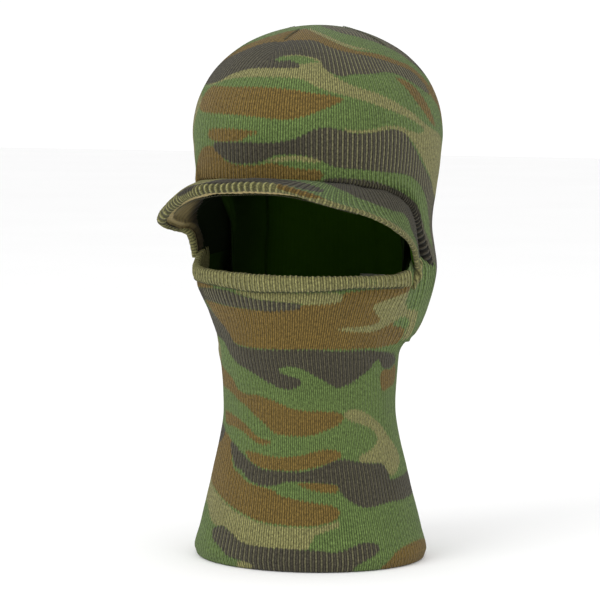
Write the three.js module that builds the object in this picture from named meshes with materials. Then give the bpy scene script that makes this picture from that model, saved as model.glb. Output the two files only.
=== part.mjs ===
// Knitted face mask with a sewn-in visor: a double-knit hood with one wide face opening,
// a stiffened visor over the eyes, a folded band under the opening and a neck tube that flares
// at its hem. Millimetres, +Z up, the wearer faces -Y and the wearer's left is +X.
// The origin is the head seat: the inside of the crown, where the top of the head touches it.
// Inside this file heights are measured from the hem, and the whole mask is moved at the end.
import * as THREE from "three";

// ---- driving dimensions -------------------------------------------------------------------
const HOOD_HALF_DEPTH = 101;      // centre of the hood to the forehead or the back of the head
const HOOD_HALF_WIDTH = 83;
const HOOD_CENTRE_Y = 4;
const HOOD_TOP = 370;             // hem to the outside of the crown
const CROWN_BASE = 292;           // the dome starts here, where the hood is widest
const DOME_SQUARENESS = 2.25;     // 2 would be an ellipse

const KNIT = 2.6;                 // thickness of the hood's knit
const LINING = 1.6;
const GAP = 0.4;                  // between neighbouring pieces
const NECK_CENTRE_Y = -9;

const VISOR_ROLL_RADIUS = 4.6;
const VISOR_LAYERS = { cover: 2.4, stiffener: 1.4, facing: 2 };
const STIFF_HALF_ANGLE = 60;      // the stiffener reaches this far round, the knit wings go on
const WING_ANGLES = [61.5, 86];

const BAND_HALF_ANGLE = 81;       // the folded band runs from temple to temple
const BAND_BOTTOM = 190.2;
const BAND_TOP = 203;
const BAND_THICKNESS = 4.2;
const SEAT_HEIGHT = HOOD_TOP - KNIT - GAP - LINING;

const HEM_DEPTH = 18;
const SEGMENTS_ROUND = 40;

// ---- smooth tables ------------------------------------------------------------------------
const rad = THREE.MathUtils.degToRad;
const mix = THREE.MathUtils.lerp;
const ease = THREE.MathUtils.smoothstep;

// A smooth curve through rows of [x, value, value, ...]; x grows from row to row.
function table(rows) {
  const slope = (i, k) => {
    const before = rows[Math.max(i - 1, 0)];
    const after = rows[Math.min(i + 1, rows.length - 1)];
    return (after[k] - before[k]) / (after[0] - before[0]);
  };
  return (x) => {
    let i = 0;
    while (i < rows.length - 2 && x > rows[i + 1][0]) i += 1;
    const width = rows[i + 1][0] - rows[i][0];
    const t = THREE.MathUtils.clamp((x - rows[i][0]) / width, 0, 1);
    return rows[i].slice(1).map((value, j) => {
      const k = j + 1;
      const rise = 3 * t * t - 2 * t * t * t;
      return mix(value, rows[i + 1][k], rise)
        + width * slope(i, k) * (t * t * t - 2 * t * t + t)
        + width * slope(i + 1, k) * (t * t * t - t * t);
    });
  };
}

// Hood below the dome: height, then the share of the full half width and half depth.
// It draws in over the cheeks, bags out at the jaw and tucks in to the neck.
const hoodSides = table([
  [151, 0.79, 0.58], [157, 0.83, 0.68], [163, 0.86, 0.77], [173, 0.89, 0.87], [188, 0.94, 0.93],
  [200, 0.96, 0.96], [215, 0.94, 0.94], [228, 0.92, 0.92], [240, 0.93, 0.93], [252, 0.95, 0.95],
  [266, 0.972, 0.972], [280, 0.99, 0.99], [CROWN_BASE, 1, 1],
]);

// Lower edge of the crown: degrees round from the forehead, then height. It runs over the brow,
// drops behind the temples to the jaw and goes on round the nape.
const crownEdge = table([
  [0, 268], [40, 266.5], [55, 262.5], [68, 257.5], [79, 250.5], [85, 243], [90, 234], [96, 218],
  [101, 208], [107, 200], [115, 166], [124, 151], [150, 151], [180, 151],
]);

// Neck tube: height, half width, depth to the front, depth to the back.
const neckSides = table([
  [0, 81.5, 73.5, 73.5], [6, 83, 75, 75], [20, 79.5, 72, 72], [40, 74, 68, 68],
  [60, 69, 64.5, 64.5], [80, 64, 61.5, 61.5], [99, 60.5, 60, 60], [115, 60.3, 60.5, 60.5],
  [130, 61, 64, 61.5], [145, 62, 69, 63], [150, 62.3, 70, 63], [160, 65.5, 69.8, 63],
  [172, 70, 72, 63], [180, 73, 74.5, 63], [186, 75, 76, 63], [203, 76.2, 79, 63],
]);
const NAPE_HALF_WIDTH = 62.3;     // behind the cheeks the tube stays narrow, inside the hood

// Outside of the folded band: height, half width, depth to the front.
const bandSides = table([
  [188, 81, 81.4], [BAND_BOTTOM, 81.5, 82], [BAND_TOP, 82.5, 85], [216, 82, 86],
]);

// Middle of the visor's rolled edge, by degrees round from its tip: x, y, height.
// The visor reaches about 50 in front of the forehead. Its wearer's right end comes further forward.
const visorEdgeLine = table([
  [-95, -83, -30, 209], [-88, -84.5, -38, 221], [-80, -85, -50, 229], [-65, -80, -76, 236],
  [-50, -62, -97, 246.4], [-27, -36, -124, 255.8], [-12, -17, -143, 260], [0, 0, -148, 263],
  [27, 40, -136, 263], [50, 68, -100, 250.5], [60, 78, -80, 244.5], [72, 86, -55, 234.5],
  [88, 85, -22, 219], [95, 80.5, -6, 205],
]);

// ---- surfaces -----------------------------------------------------------------------------
// A point on an oval round the head: angle from the face, half width, half depth and centre.
function oval(degrees, z, halfWidth, halfDepth, centreY) {
  const a = rad(degrees);
  return new THREE.Vector3(halfWidth * Math.sin(a), centreY - halfDepth * Math.cos(a), z);
}

function hoodSide(degrees, z, offset = 0) {
  const [wide, deep] = hoodSides(z);
  return oval(degrees, z, HOOD_HALF_WIDTH * wide + offset, HOOD_HALF_DEPTH * deep + offset, HOOD_CENTRE_Y);
}

// The dome, from 0 at the top of the head to 90 at the crown's base.
function dome(degrees, down, offset = 0) {
  const height = HOOD_TOP - CROWN_BASE + offset;
  const z = CROWN_BASE + height * Math.max(Math.cos(rad(down)), 0) ** (2 / DOME_SQUARENESS);
  const out = Math.sin(rad(down));
  return oval(degrees, z, (HOOD_HALF_WIDTH + offset) * out, (HOOD_HALF_DEPTH + offset) * out, HOOD_CENTRE_Y);
}

const edgeHeight = (degrees) => crownEdge(Math.abs(degrees))[0];

// From the top of the dome (v = 0) down to a lower edge (v = 1) that varies round the head.
function crown(degrees, v, offset, lowerEdge) {
  if (v <= 0.5) return dome(degrees, 180 * v, offset);
  return hoodSide(degrees, mix(CROWN_BASE, lowerEdge(degrees), 2 * v - 1), offset);
}

// The neck tube's front panel spreads to meet the band; from the cheeks back it stays narrow.
function neck(degrees, z, offset = 0) {
  const [wide, front, back] = neckSides(z);
  const around = Math.abs(degrees);
  const napeWide = Math.min(wide, z > 145 ? NAPE_HALF_WIDTH : wide);
  const halfWidth = mix(wide, napeWide, ease(around, 80, 88));
  const halfDepth = around < 90 ? front : back;
  return oval(degrees, z, halfWidth + offset, halfDepth + offset, NECK_CENTRE_Y);
}

function band(degrees, z, offset = 0) {
  const [wide, front] = bandSides(z);
  return oval(degrees, z, wide + offset, front + offset, NECK_CENTRE_Y);
}

// The visor is a ruled sheet from its root under the crown's edge (s = 0) to its rolled edge (s = 1).
function visorRoot(t) {
  const degrees = 0.93 * t;
  const wing = ease(Math.abs(t), 50, 64);
  return hoodSide(degrees, edgeHeight(degrees) - mix(6.5, 10.5, wing), mix(0.2, -1.8, wing));
}

const visorEdge = (t) => new THREE.Vector3(...visorEdgeLine(t));

const VISOR_RISE = 3;             // the sheet is a little crowned between root and edge
function visorTop(t, s) {
  const p = visorRoot(t).lerp(visorEdge(t), s);
  p.z += VISOR_RISE * Math.sin(Math.PI * s) + VISOR_LAYERS.cover * (1 - s);
  return p;
}

// A surface moved a distance along its own upward normal, found from two small steps.
function offsetAlongNormal(surface, u, v, distance) {
  const step = 0.01;
  const here = surface(u, v);
  const du = surface(u + step, v).sub(here);
  const dv = surface(u, v + step * 0.1).sub(here);
  return here.addScaledVector(dv.cross(du).normalize(), distance);
}

// ---- geometry helpers ---------------------------------------------------------------------
const range = (from, to, count) => Array.from({ length: count + 1 }, (_, i) => mix(from, to, i / count));

// Turns a closed triangle list the right way out.
function outward(points, triangles) {
  let volume = 0;
  for (const [a, b, c] of triangles) volume += points[a].dot(points[b].clone().cross(points[c]));
  const faces = volume < 0 ? triangles.map(([a, b, c]) => [a, c, b]) : triangles;
  const geometry = new THREE.BufferGeometry().setFromPoints(points);
  geometry.setIndex(faces.flat());
  geometry.computeVertexNormals();
  return geometry;
}

// A thick sheet between two surfaces over a grid of us and vs. It may close on itself along u,
// and its first v may be a single point, as at the top of a dome.
function sheet(us, vs, outer, inner, { closed = false, pole = false } = {}) {
  const points = [];
  const layer = (surface) => vs.map((v, j) => {
    if (pole && j === 0) {
      points.push(surface(us[0], v));
      return us.map(() => points.length - 1);
    }
    return us.map((u) => points.push(surface(u, v)) - 1);
  });
  const [top, bottom] = [layer(outer), layer(inner)];
  const triangles = [];
  const quad = (a, b, c, d) => {
    for (const face of [[a, b, c], [a, c, d]]) if (new Set(face).size === 3) triangles.push(face);
  };
  const columns = closed ? us.length : us.length - 1;
  for (let i = 0; i < columns; i += 1) {
    const next = (i + 1) % us.length;
    for (let j = 0; j + 1 < vs.length; j += 1) {
      quad(top[j][i], top[j][next], top[j + 1][next], top[j + 1][i]);
      quad(bottom[j][i], bottom[j + 1][i], bottom[j + 1][next], bottom[j][next]);
    }
    const last = vs.length - 1;
    quad(top[last][i], top[last][next], bottom[last][next], bottom[last][i]);
    if (!pole) quad(top[0][next], top[0][i], bottom[0][i], bottom[0][next]);
  }
  if (!closed) {
    const end = us.length - 1;
    for (let j = 0; j + 1 < vs.length; j += 1) {
      quad(top[j][0], top[j + 1][0], bottom[j + 1][0], bottom[j][0]);
      quad(top[j + 1][end], top[j][end], bottom[j][end], bottom[j + 1][end]);
    }
  }
  return outward(points, triangles);
}

// A round bead along an open curve, such as a rolled edge or a line of seam thread.
function bead(points, radius, steps, sides = 8) {
  const angles = range(0, 2 * Math.PI, sides).slice(0, sides);
  const corner = (a) => new THREE.Vector2(radius * Math.cos(a), radius * Math.sin(a));
  const section = new THREE.Shape(angles.map(corner));
  const path = new THREE.CatmullRomCurve3(points);
  return new THREE.ExtrudeGeometry(section, { steps, extrudePath: path, bevelEnabled: false });
}

// A closed ring of round section that follows the neck tube.
function ringBead(z, offset, radius) {
  const around = range(-180, 180, SEGMENTS_ROUND).slice(0, SEGMENTS_ROUND);
  const half = (sign) => (u, v) => {
    const height = z + radius * Math.cos(rad(v));
    return neck(u, height, offset + sign * radius * Math.sin(rad(v)));
  };
  return sheet(around, [0, 45, 90, 135, 180], half(1), half(-1), { closed: true });
}

// ---- materials ----------------------------------------------------------------------------
const material = (color, roughness) => new THREE.MeshStandardMaterial({ color, roughness, metalness: 0 });
const camoKnit = material(0x5f6b3c, 0.95);
const oliveKnit = material(0x8b8558, 0.95);
const darkKnit = material(0x10180c, 0.95);
const thread = material(0x3d4028, 0.8);
const board = material(0x2b2b28, 0.5);
const labelCloth = material(0xd9d6cc, 0.85);

const mask = new THREE.Group();
function add(name, geometry, finish) {
  const piece = new THREE.Mesh(geometry, finish);
  piece.name = name;
  mask.add(piece);
}

const aroundHead = range(-180, 180, SEGMENTS_ROUND).slice(0, SEGMENTS_ROUND);
const crownRows = [...range(0, 0.5, 8), ...range(0.5, 1, 7).slice(1)];

// ---- hood ---------------------------------------------------------------------------------
add("crown_shell", sheet(
  aroundHead, crownRows,
  (u, v) => crown(u, v, 0, edgeHeight),
  (u, v) => crown(u, v, -KNIT, edgeHeight),
  { closed: true, pole: true },
), camoKnit);

// The lining hangs from the brow seam and stops short of the hood's lower edge.
add("crown_lining", sheet(
  aroundHead, crownRows.slice(0, -1),
  (u, v) => crown(u, v, -KNIT - GAP, edgeHeight),
  (u, v) => crown(u, v, -KNIT - GAP - LINING, edgeHeight),
  { closed: true, pole: true },
), darkKnit);

// Four darts close the top of the crown; each is a ridge of overlock thread.
const DART_RADIUS = 0.8;
const DART_FROM = 15;
const DART_TO = 40;
for (const [name, degrees] of [["front", 0], ["left", 90], ["back", 180], ["right", -90]]) {
  const ridge = range(DART_FROM, DART_TO, 6).map((down) => dome(degrees, down, DART_RADIUS + GAP));
  add(`crown_dart_${name}`, bead(ridge, DART_RADIUS, 10, 6), thread);
}

// Flat back seams, one up the hood and one up the neck tube.
const SEAM_HALF_ANGLE = 1.2;
const SEAM_HEIGHT = 0.8;
const seamAngles = [180 - SEAM_HALF_ANGLE, 180 + SEAM_HALF_ANGLE];
const raised = (surface, height) => (u, v) => surface(u, v, 2 * GAP + height);
add("crown_back_seam", sheet(
  seamAngles, range(156, CROWN_BASE, 10),
  raised(hoodSide, SEAM_HEIGHT), raised(hoodSide, 0),
), thread);
add("neck_back_seam", sheet(
  seamAngles, range(22, 144, 14),
  raised(neck, SEAM_HEIGHT), raised(neck, 0),
), thread);

// The crown's lower edge turns into a thick roll behind each temple.
const EDGE_ROLL_RADIUS = 2.6;
for (const [side, sign] of [["left", 1], ["right", -1]]) {
  const roll = range(62, 103, 8).map((degrees) => {
    const inward = EDGE_ROLL_RADIUS + GAP + mix(0.7, 5.6, ease(degrees, 76, 96));
    return hoodSide(sign * degrees, edgeHeight(degrees) - inward, 0.2);
  });
  add(`crown_edge_roll_${side}`, bead(roll, EDGE_ROLL_RADIUS, 16), camoKnit);
}

// Inside seam that joins the visor, the crown and the lining over the brow.
const BROW_SEAM_RADIUS = 1.3;
const brow = range(-58, 58, 14).map((degrees) => hoodSide(degrees, edgeHeight(degrees) - 1.2, -3.3));
add("brow_seam", bead(brow, BROW_SEAM_RADIUS, 28, 6), thread);

// ---- visor --------------------------------------------------------------------------------
const { cover, stiffener, facing } = VISOR_LAYERS;
const visorArc = range(-STIFF_HALF_ANGLE, STIFF_HALF_ANGLE, 20);
const visorRows = range(0, 1, 5);

// A layer of the visor, a depth below its top face, that stops short of the rolled edge.
function visorLayer(depth, thickness) {
  const at = (down) => (t, v) => {
    const length = visorRoot(t).distanceTo(visorEdge(t));
    const reach = 1 - (VISOR_ROLL_RADIUS + GAP + 1.3) / length;
    return offsetAlongNormal(visorTop, t, v * reach, -down);
  };
  return sheet(visorArc, visorRows, at(depth), at(depth + thickness));
}
add("visor_top_cover", visorLayer(0, cover), camoKnit);
add("visor_stiffener", visorLayer(cover + GAP, stiffener), board);
add("visor_under_cover", visorLayer(cover + stiffener + 2 * GAP, facing), oliveKnit);

// The front edge is the cover's knit rolled round and under.
const edgeLine = (from, to, count) => range(from, to, count).map((t) => visorEdge(t));
const stiffEdge = edgeLine(-STIFF_HALF_ANGLE, STIFF_HALF_ANGLE, 24);
add("visor_edge_roll", bead(stiffEdge, VISOR_ROLL_RADIUS, 40), camoKnit);

const STITCH_RADIUS = 0.5;
const underDepth = cover + stiffener + facing + 2 * GAP + STITCH_RADIUS + GAP;
const underStitch = range(-STIFF_HALF_ANGLE + 2, STIFF_HALF_ANGLE - 2, 16)
  .map((t) => offsetAlongNormal(visorTop, t, 0.76, -underDepth));
add("visor_edge_stitch", bead(underStitch, STITCH_RADIUS, 32, 6), thread);

// Beyond the stiffener the visor goes on as a soft folded wing beside each temple.
const WING_THICKNESS = 2.6;
const WING_ROLL_RADIUS = 3.2;
for (const [side, sign] of [["left", 1], ["right", -1]]) {
  const [from, to] = WING_ANGLES.map((angle) => sign * angle);
  const wing = (below) => (t, v) => {
    const length = visorRoot(t).distanceTo(visorEdge(t));
    return offsetAlongNormal(visorTop, t, v * (1 - (WING_ROLL_RADIUS + 1.5) / length), -below);
  };
  add(`visor_wing_${side}`, sheet(range(from, to, 6), visorRows, wing(0), wing(WING_THICKNESS)), camoKnit);
  add(`visor_wing_roll_${side}`, bead(edgeLine(from, to, 6), WING_ROLL_RADIUS, 12), camoKnit);
}

// ---- cheeks and the corners of the opening -----------------------------------------------
const CHEEK_ANGLES = [87.5, 118];
const CHEEK_BOTTOM = 158;
const CHEEK_THICKNESS = 2.4;
const CHEEK_DEPTH = [3, 6.8];     // it tucks under the crown's edge behind the temple
for (const [side, sign] of [["left", 1], ["right", -1]]) {
  const surface = (below) => (u, v) => {
    const tuck = ease(Math.abs(u), 96, 106);
    const top = Math.max(edgeHeight(u) + mix(-9, 4, tuck), CHEEK_BOTTOM + 6);
    return hoodSide(u, mix(CHEEK_BOTTOM, top, v), -mix(CHEEK_DEPTH[0], CHEEK_DEPTH[1], tuck) - below);
  };
  const angles = range(sign * CHEEK_ANGLES[0], sign * CHEEK_ANGLES[1], 6);
  add(`cheek_panel_${side}`, sheet(
    angles, range(0, 1, 6), surface(0), surface(CHEEK_THICKNESS),
  ), camoKnit);

  // A stitched roll closes the opening between the visor's end and the band's end.
  const corner = [192.5, 197, 202, 206].map((z) => hoodSide(sign * 84.2, z, 0.2));
  add(`corner_binding_${side}`, bead(corner, 2.2, 8), oliveKnit);
}

// ---- band under the opening ---------------------------------------------------------------
const bandArc = range(-BAND_HALF_ANGLE, BAND_HALF_ANGLE, 24);
const bandTop = (degrees) => BAND_TOP + 7 * ease(Math.abs(degrees), 62, 80);
const bandLayer = (offset) => (u, v) => band(u, mix(BAND_BOTTOM, bandTop(u), v), offset);
add("chin_band", sheet(bandArc, range(0, 1, 3), bandLayer(0), bandLayer(-BAND_THICKNESS)), oliveKnit);

const BAND_SEAM_RADIUS = 1;
const bandSeam = range(-BAND_HALF_ANGLE + 1, BAND_HALF_ANGLE - 1, 16)
  .map((degrees) => band(degrees, BAND_BOTTOM - BAND_SEAM_RADIUS - GAP, -2));
add("chin_band_seam", bead(bandSeam, BAND_SEAM_RADIUS, 32, 6), thread);

// ---- neck tube and its hem ----------------------------------------------------------------
// Its upper edge stands behind the band in front and is tucked into the hood at the back.
const TUBE_TOP_FRONT = 201;
const TUBE_TOP_BACK = 166;
const tubeTop = (degrees) => mix(TUBE_TOP_FRONT, TUBE_TOP_BACK, ease(Math.abs(degrees), 79, 87));
const HEM_ROWS = 4;
const tubeRows = [0, 0.03, 0.06, 0.09, 0.15, 0.22, 0.31, 0.42, 0.52, 0.62, 0.7, 0.77, 0.83, 0.88, 0.94, 1];
const tubeLayer = (offset) => (u, v) => neck(u, v * tubeTop(u), offset);
add("mask_tube", sheet(aroundHead, tubeRows, tubeLayer(0), tubeLayer(-KNIT), { closed: true }), camoKnit);

add("hem_facing", sheet(
  aroundHead, tubeRows.slice(0, HEM_ROWS),
  tubeLayer(-KNIT - GAP), tubeLayer(-KNIT - GAP - LINING), { closed: true },
), darkKnit);
add("hem_overlock", ringBead(HEM_DEPTH + 3.4, -KNIT - GAP - 1.3, 1), thread);

// ---- label inside the nape ----------------------------------------------------------------
const LABEL_HALF_ANGLE = 8;
const LABEL_THICKNESS = 0.6;
const labelDepth = KNIT + LINING + 2 * GAP + 1.4;
add("care_label", sheet(
  range(180 - LABEL_HALF_ANGLE, 180 + LABEL_HALF_ANGLE, 4), range(170, 190, 3),
  (u, v) => hoodSide(u, v, -labelDepth), (u, v) => hoodSide(u, v, -labelDepth - LABEL_THICKNESS),
), labelCloth);

mask.position.set(0, -HOOD_CENTRE_Y, -SEAT_HEIGHT);
const part = new THREE.Group();
part.add(mask);

export default part;
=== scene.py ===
import math

import bpy
import numpy as np
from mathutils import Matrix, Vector


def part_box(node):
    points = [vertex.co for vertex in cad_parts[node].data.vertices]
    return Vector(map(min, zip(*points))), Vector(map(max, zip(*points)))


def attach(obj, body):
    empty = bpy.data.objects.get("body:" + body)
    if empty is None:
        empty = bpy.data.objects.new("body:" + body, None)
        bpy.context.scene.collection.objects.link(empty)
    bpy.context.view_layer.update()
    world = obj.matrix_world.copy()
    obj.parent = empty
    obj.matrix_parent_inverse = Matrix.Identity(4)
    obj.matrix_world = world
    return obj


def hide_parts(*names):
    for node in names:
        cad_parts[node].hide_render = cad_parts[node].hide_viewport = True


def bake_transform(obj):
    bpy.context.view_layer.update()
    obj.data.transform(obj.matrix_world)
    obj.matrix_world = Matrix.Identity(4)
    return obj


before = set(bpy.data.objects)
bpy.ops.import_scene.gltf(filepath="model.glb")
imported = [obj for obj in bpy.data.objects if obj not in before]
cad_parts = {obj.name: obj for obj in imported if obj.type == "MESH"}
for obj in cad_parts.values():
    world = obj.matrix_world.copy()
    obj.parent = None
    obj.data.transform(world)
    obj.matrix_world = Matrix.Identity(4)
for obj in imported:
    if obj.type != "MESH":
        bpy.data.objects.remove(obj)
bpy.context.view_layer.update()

# ---- where the frame puts the mask
# The shapes below are written in millimetres, with heights from the hem and the hood's centre at HOOD_Y.
HOOD_Y = 4.0
crown_lo, crown_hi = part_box("crown_shell")
hem_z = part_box("mask_tube")[0].z
ORIGIN = np.array([(crown_lo.x + crown_hi.x) / 2, (crown_lo.y + crown_hi.y) / 2 - HOOD_Y / 1000, hem_z])
HALF_WIDTH = (crown_hi.x - crown_lo.x) * 500
HALF_DEPTH = (crown_hi.y - crown_lo.y) * 500
TOP = (crown_hi.z - hem_z) * 1000
DOME_BASE = 292.0
SQUARENESS = 2.25
NECK_Y = -9.0
TURN = 2 * math.pi


def to_frame(points):
    return np.asarray(points, float) / 1000 + ORIGIN


def ease(x, a, b):
    """From 0 at a to 1 at b, in a smooth step; a may be the larger."""
    t = np.clip((np.asarray(x, float) - a) / (b - a), 0, 1)
    return t * t * (3 - 2 * t)


def mix(a, b, t):
    return a + (b - a) * t


def row_of(a, b, count):
    """Even steps from a to b, for the rows of a grid."""
    return np.linspace(a, b, count)[None, :]


def hump(x, middle, width):
    return np.exp(-((x - middle) / width) ** 2)


def curve(rows):
    """A smooth curve through rows of [x, value, ...]."""
    rows = np.array(rows, float)
    x, y = rows[:, 0], rows[:, 1:]
    low, high = np.r_[0, np.arange(len(x) - 1)], np.r_[np.arange(1, len(x)), len(x) - 1]
    slope = (y[high] - y[low]) / (x[high] - x[low])[:, None]

    def at(q):
        q = np.asarray(q, float)
        i = np.clip(np.searchsorted(x, q) - 1, 0, len(x) - 2)
        w = x[i + 1] - x[i]
        t = np.clip((q - x[i]) / w, 0, 1)[..., None]
        w = w[..., None]
        h = 3 * t**2 - 2 * t**3
        value = y[i] * (1 - h) + y[i + 1] * h
        value = value + w * slope[i] * (t**3 - 2 * t**2 + t) + w * slope[i + 1] * (t**3 - t**2)
        return value if y.shape[1] > 1 else value[..., 0]
    return at


# ---- the garment's surfaces
# Height, then the share of the full half width and half depth.
hood_sides = curve([
    [151, .79, .58], [157, .83, .68], [163, .86, .77], [173, .89, .87], [188, .94, .93], [200, .96, .96],
    [215, .94, .94], [228, .92, .92], [240, .93, .93], [252, .95, .95], [266, .972, .972], [280, .99, .99],
    [DOME_BASE, 1, 1]])
crown_edge = curve([
    [0, 268], [40, 266.5], [55, 262.5], [68, 257.5], [79, 250.5], [85, 243], [90, 234], [96, 217.5], [100, 206],
    [104, 196.5], [109, 174], [113, 153], [120, 151], [180, 151]])
# Height, half width, depth to the front.
neck_sides = curve([
    [0, 81.5, 73.5], [6, 83, 75], [20, 79.5, 72], [40, 74, 68], [60, 69, 64.5], [80, 64, 61.5],
    [99, 60.5, 60], [115, 60.3, 60.5], [130, 61, 64], [145, 62, 69], [150, 62.3, 70], [160, 65.5, 69.8],
    [172, 70.5, 72], [179, 74, 74.2], [185, 77.3, 75.8], [190, 79.5, 76.8],
    [203, 79.8, 79]])
neck_back = curve([
    [0, 73.5], [6, 75], [20, 72], [40, 68], [60, 64.5], [80, 61.5], [99, 60], [115, 60.5], [130, 61.5],
    [145, 63], [203, 63]])
NAPE_HALF_WIDTH = 62.3
# Angle round from the visor's tip, then the middle of its rolled edge.
visor_edge = curve([
    [-97, -77, -35, 206], [-91, -77.3, -37, 217], [-86, -79.5, -39, 225.5], [-80, -84.5, -49, 229],
    [-65, -80, -76, 236], [-50, -62, -97, 246.4],
    [-27, -36, -124, 255.8], [-12, -17, -143, 260], [0, 0, -148, 263], [27, 40, -136, 263], [50, 68, -100, 250.5],
    [60, 78, -80, 244.5], [72, 86, -55, 234.5], [88, 85, -22, 219], [97, 79.5, -2, 200.5]])


def oval(degrees, z, wide, deep, centre):
    a = np.radians(degrees)
    return np.stack(np.broadcast_arrays(wide * np.sin(a), centre - deep * np.cos(a), z), -1)


def hood(degrees, z, offset=0.0):
    s = hood_sides(z)
    return oval(degrees, z, HALF_WIDTH * s[..., 0] + offset, HALF_DEPTH * s[..., 1] + offset, HOOD_Y)


def dome(degrees, down, offset=0.0):
    a = np.radians(down)
    z = DOME_BASE + (TOP - DOME_BASE + offset) * np.clip(np.cos(a), 0, 1) ** (2 / SQUARENESS)
    return oval(degrees, z, (HALF_WIDTH + offset) * np.sin(a), (HALF_DEPTH + offset) * np.sin(a), HOOD_Y)


def neck(degrees, z, offset=0.0):
    s = neck_sides(z)
    around = np.abs(degrees)
    nape = np.where(z > 145, np.minimum(s[..., 0], NAPE_HALF_WIDTH), s[..., 0])
    wide = mix(s[..., 0], nape, ease(around, 80, 100))
    deep = mix(s[..., 1], neck_back(z), ease(around, 82, 98))
    return oval(degrees, z, wide + offset, deep + offset, NECK_Y)


def unit(v):
    return v / np.maximum(np.linalg.norm(v, axis=-1, keepdims=True), 1e-9)


def outward_of(points, centre):
    """Level directions away from the upright line at y = centre."""
    out = points - np.array([0, centre, 0])
    out[..., 2] = 0
    return unit(out)


def normals(p, closed):
    du = np.roll(p, -1, 0) - np.roll(p, 1, 0) if closed else np.gradient(p, axis=0)
    return unit(np.cross(du, np.gradient(p, axis=1)))


def soft_noise(u, v, scale, seed, octaves=3):
    """Smooth waves with no repeat, from a few sines turned at random."""
    local = np.random.default_rng(seed)
    total = np.zeros(np.broadcast(u, v).shape)
    for octave in range(octaves):
        for _ in range(5):
            turn, phase = local.uniform(0, TURN, 2)
            f = 2 ** octave / scale * local.uniform(0.7, 1.3)
            total += np.sin((u * math.cos(turn) + v * math.sin(turn)) * TURN * f + phase) / 2 ** octave
    return total / 5


# ---- the knit: wales run up the garment, courses run round it
WALE = 3.62             # one raised and one sunk wale
COURSE = 1.15           # one row of stitches
MASK_WALES = 138
RING = np.linspace(-180, 180, 241)[:-1]
around_deg = np.linspace(-180, 180, 1441)
arc_step = np.hypot(HALF_WIDTH * np.cos(np.radians(around_deg)), HALF_DEPTH * np.sin(np.radians(around_deg)))
arc_length = np.cumsum(arc_step) * np.radians(0.25)
arc_length -= np.interp(0, around_deg, arc_length)
arc_total = arc_length[-1] - arc_length[0]
CROWN_WALES = round(arc_total / WALE)


def crown_wale(degrees, share):
    """Wales run straight up to four darts, at the front, the back and the sides. share is 1 at the dome's base."""
    quarter = (np.floor(degrees / 90) * 90) + 45
    local = np.radians(degrees - quarter)
    straight = mix(0.40, 1.0, ease(share, 0.22, 0.82))
    at_base = quarter + np.degrees(np.arcsin(np.clip(np.sin(local) * straight, -1, 1)))
    return np.interp(at_base, around_deg, arc_length) / arc_total * CROWN_WALES


def mask_wale(degrees):
    return degrees / 360 * MASK_WALES


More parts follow.
